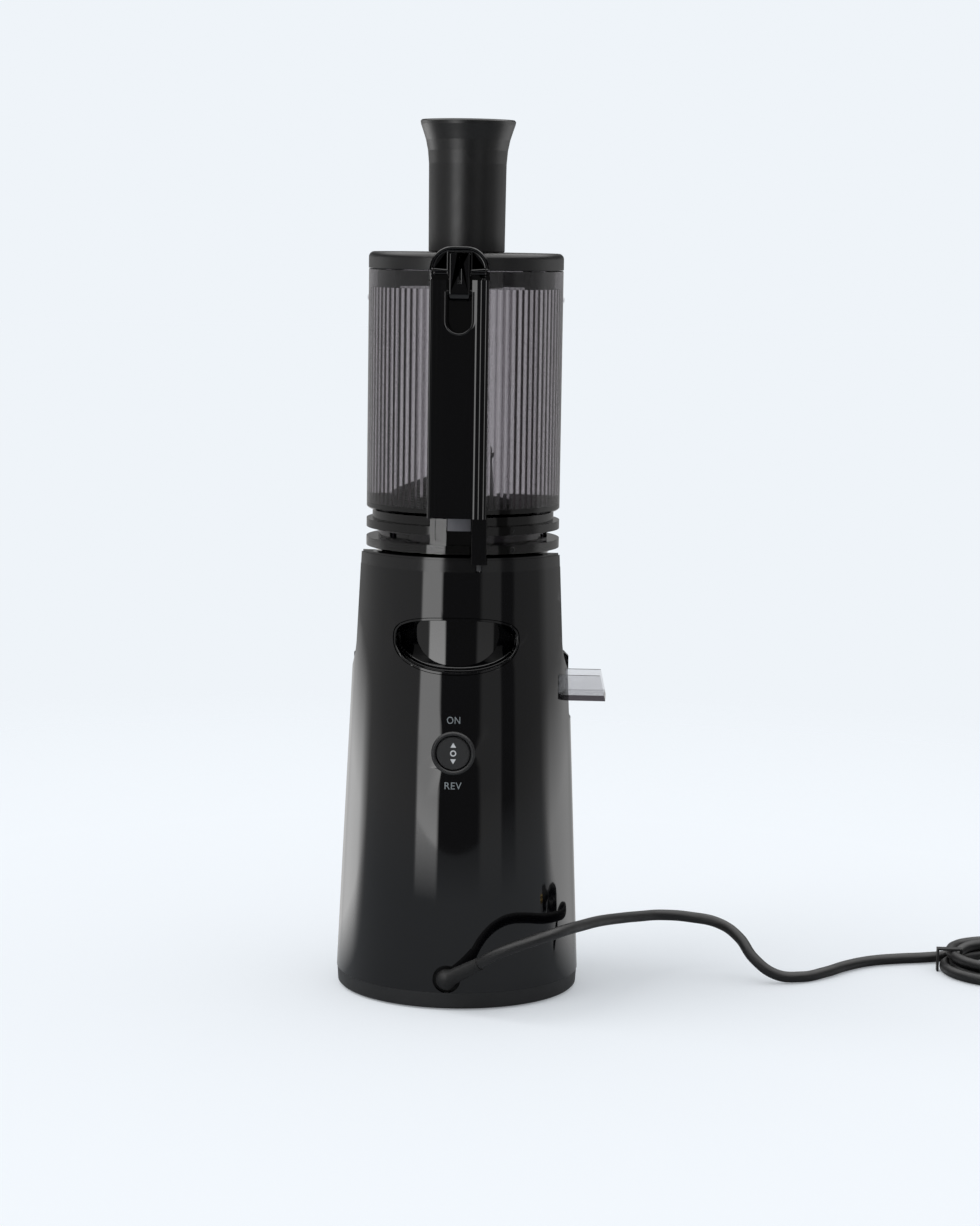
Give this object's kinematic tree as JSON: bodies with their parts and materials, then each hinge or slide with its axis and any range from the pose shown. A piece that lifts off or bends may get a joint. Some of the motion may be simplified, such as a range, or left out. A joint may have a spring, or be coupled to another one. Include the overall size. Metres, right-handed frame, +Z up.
{
  "type": "cold press juicer",
  "caption": "Tall slow juicer: tapered motor base, screw press chamber with pulp chute and juice spout, ribbed clear hopper with hinged lid and pusher.",
  "frame": {"origin": "on the table at the centre of the round base, on the axis of the press screw", "axes": "+Z up along the axis of screw, hopper and pusher; -Y the front with the juice spout; +Y the rear with grip, switch and cord; -X the side with the pulp chute"},
  "size_m": [0.4956, 0.2008, 0.5448],
  "materials": {
    "gloss_black": "mirror gloss",
    "satin_black": "satin",
    "lid_black": "fine satin",
    "foot_rubber": "matte",
    "switch_grey": "satin",
    "switch_white": "satin",
    "inner_plastic": "satin",
    "board_green": "satin",
    "motor_steel": "zinc plated",
    "magnet_ferrite": "matte",
    "bush_bronze": "sintered bronze",
    "screw_steel": "zinc plated",
    "shaft_steel": "ground",
    "case_alloy": "die cast",
    "gear_nylon": "moulded nylon",
    "seal_silicone": "silicone",
    "smoke_chamber": "clear smoke grey",
    "smoke_hopper": "clear smoke grey",
    "auger_grey": "satin",
    "cord_black": "satin PVC",
    "pin_brass": "polished"
  },
  "bodies": {
    "base": {"rubber_feet": "foot_rubber", "base_cover": "satin_black", "base_screws": "screw_steel", "motor_housing": "gloss_black", "rear_liner": "satin_black", "top_collar": "satin_black", "grip_cup": "gloss_black", "switch_bezel": "switch_grey", "switch_body": "inner_plastic", "control_board": "board_green", "motor_can": "motor_steel", "motor_magnets": "magnet_ferrite", "motor_end_cap": "motor_steel", "motor_bushes": "bush_bronze", "motor_screws": "screw_steel", "gearbox_case": "case_alloy", "gearbox_cover": "case_alloy", "gearbox_screws": "screw_steel", "idler_axle": "shaft_steel", "shaft_bushes": "bush_bronze", "deck_seal": "seal_silicone", "reed_switch": "switch_white", "cable_gland": "cord_black", "power_cord": "cord_black", "cord_coil": "cord_black", "cord_tail": "cord_black", "cord_tie": "cord_black", "plug_body": "cord_black", "plug_pins": "pin_brass"},
    "rocker": {"switch_rocker": "switch_grey"},
    "rotor": {"motor_rotor": "motor_steel"},
    "idler": {"idler_gear": "gear_nylon"},
    "drive": {"output_gear": "gear_nylon", "drive_shaft": "shaft_steel"},
    "chamber": {"juicing_chamber": "smoke_chamber", "chamber_floor": "smoke_chamber", "pulp_chute": "smoke_chamber", "juice_spout": "smoke_chamber", "chamber_seal": "seal_silicone", "strainer_frame": "inner_plastic", "strainer_mesh": "shaft_steel", "cap_pin": "shaft_steel"},
    "auger": {"auger": "auger_grey"},
    "cap": {"spout_cap": "satin_black", "cap_seal": "seal_silicone"},
    "hopper": {"hopper": "smoke_hopper", "hopper_column": "gloss_black", "interlock_post": "gloss_black", "hinge_pin": "shaft_steel", "interlock_spring": "shaft_steel"},
    "rod": {"interlock_rod": "shaft_steel", "rod_magnet": "magnet_ferrite"},
    "lid": {"lid": "lid_black", "lid_hinge_cover": "gloss_black"},
    "pusher": {"pusher": "lid_black", "pusher_cap": "lid_black"}
  },
  "joints": [
    {"name": "switch_rock", "type": "hinge", "parent": "base", "child": "rocker", "pos_m": [0, 0.066, 0.1597], "axis": [1, 0, 0], "range_deg": [-6, 6]},
    {"name": "motor_spin", "type": "hinge", "parent": "base", "child": "rotor", "pos_m": [0.0144, -0.00943, 0.07], "axis": [0, 0, 1], "continuous": true},
    {"name": "idler_spin", "type": "hinge", "parent": "base", "child": "idler", "pos_m": [0, -0.03438, 0.13], "axis": [0, 0, 1], "continuous": true},
    {"name": "drive_spin", "type": "hinge", "parent": "base", "child": "drive", "pos_m": [0, 0, 0.15], "axis": [0, 0, 1], "continuous": true},
    {"name": "chamber_lift", "type": "slide", "parent": "base", "child": "chamber", "axis": [0, 0, 1], "range_m": [0, 0.09]},
    {"name": "auger_spin", "type": "hinge", "parent": "chamber", "child": "auger", "pos_m": [0, 0, 0.25], "axis": [0, 0, 1], "continuous": true},
    {"name": "cap_hinge", "type": "hinge", "parent": "chamber", "child": "cap", "pos_m": [0, -0.08, 0.242], "axis": [-1, 0, 0], "range_deg": [0, 110]},
    {"name": "hopper_lift", "type": "slide", "parent": "chamber", "child": "hopper", "axis": [0, 0, 1], "range_m": [0, 0.09]},
    {"name": "rod_slide", "type": "slide", "parent": "hopper", "child": "rod", "axis": [0, 0, 1], "range_m": [0, 0.0031], "deforming": ["interlock_spring"]},
    {"name": "lid_hinge", "type": "hinge", "parent": "hopper", "child": "lid", "pos_m": [0, 0.0672, 0.4402], "axis": [-1, 0, 0], "range_deg": [0, 100]},
    {"name": "pusher_slide", "type": "slide", "parent": "lid", "child": "pusher", "axis": [0, 0, 1], "range_m": [0, 0.08]}
  ],
  "couplings": [
    {"joint": "idler_spin", "follows": "motor_spin", "ratio": -0.2},
    {"joint": "drive_spin", "follows": "motor_spin", "ratio": 0.05},
    {"joint": "auger_spin", "follows": "motor_spin", "ratio": 0.05},
    {"joint": "rod_slide", "follows": "lid_hinge", "m_per_rad": 0.001719}
  ]
}
